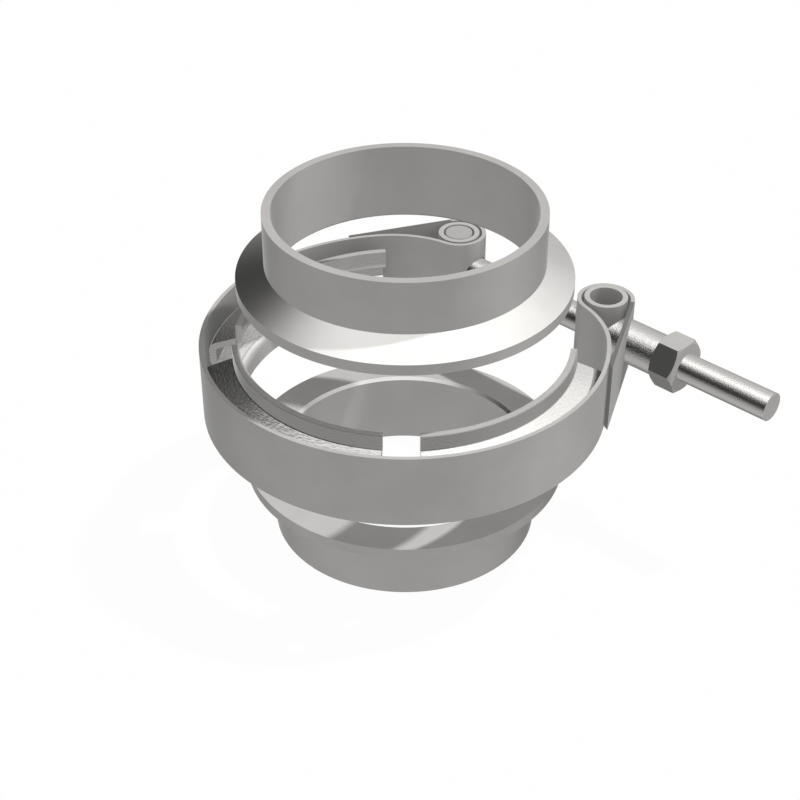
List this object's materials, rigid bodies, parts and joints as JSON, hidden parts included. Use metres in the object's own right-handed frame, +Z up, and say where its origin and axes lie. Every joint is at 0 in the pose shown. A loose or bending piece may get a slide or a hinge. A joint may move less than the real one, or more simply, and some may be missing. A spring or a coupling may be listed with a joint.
{
  "type": "clamp flange assembly",
  "caption": "V-band clamp with its two pipe flanges standing apart on one axis, joined by a T-bolt, sleeve and nut across the strap's looped ends.",
  "frame": {"origin": "on the pipes' axis, at the end face of the lower flange's stub, which the part stands on", "axes": "+Z up along the pipes' axis, +X along the clamp's bolt towards the nut, +Y towards the opening of the clamp"},
  "size_m": [0.1432, 0.1189, 0.1011],
  "materials": {
    "flange_steel": "satin",
    "strap_steel": "satin",
    "segment_steel": "satin",
    "trunnion_steel": "satin",
    "bolt_steel": "polished",
    "nut_steel": "satin"
  },
  "bodies": {
    "lower_flange": {"lower_flange": "flange_steel"},
    "clamp": {"clamp_band": "strap_steel", "v_segment_nut_side": "segment_steel", "v_segment_middle": "segment_steel", "v_segment_head_side": "segment_steel", "head_trunnion": "trunnion_steel"},
    "upper_flange": {"upper_flange": "flange_steel"},
    "bolt": {"t_bolt": "bolt_steel", "nut_trunnion": "trunnion_steel"},
    "sleeve": {"spacer_sleeve": "bolt_steel"},
    "nut": {"hex_nut": "nut_steel"}
  },
  "joints": [
    {"name": "clamp_lower", "type": "slide", "parent": "lower_flange", "child": "clamp", "axis": [0, 0, -1], "range_m": [0, 0.02835]},
    {"name": "upper_flange_lower", "type": "slide", "parent": "clamp", "child": "upper_flange", "axis": [0, 0, -1], "range_m": [0, 0.02835]},
    {"name": "bolt_swing", "type": "hinge", "parent": "clamp", "child": "bolt", "pos_m": [-0.0273, 0.05366, 0.05055], "axis": [0, 0, 1], "range_deg": [-0.25, 0.25]},
    {"name": "nut_run", "type": "slide", "parent": "bolt", "child": "sleeve", "axis": [1, 0, 0], "range_m": [0, 0.0275]},
    {"name": "nut_turn", "type": "hinge", "parent": "sleeve", "child": "nut", "pos_m": [0.05035, 0.05366, 0.05055], "axis": [1, 0, 0], "range_deg": [0, 9360]}
  ],
  "couplings": [
    {"joint": "nut_turn", "follows": "nut_run", "rad_per_m": 5936.9}
  ]
}
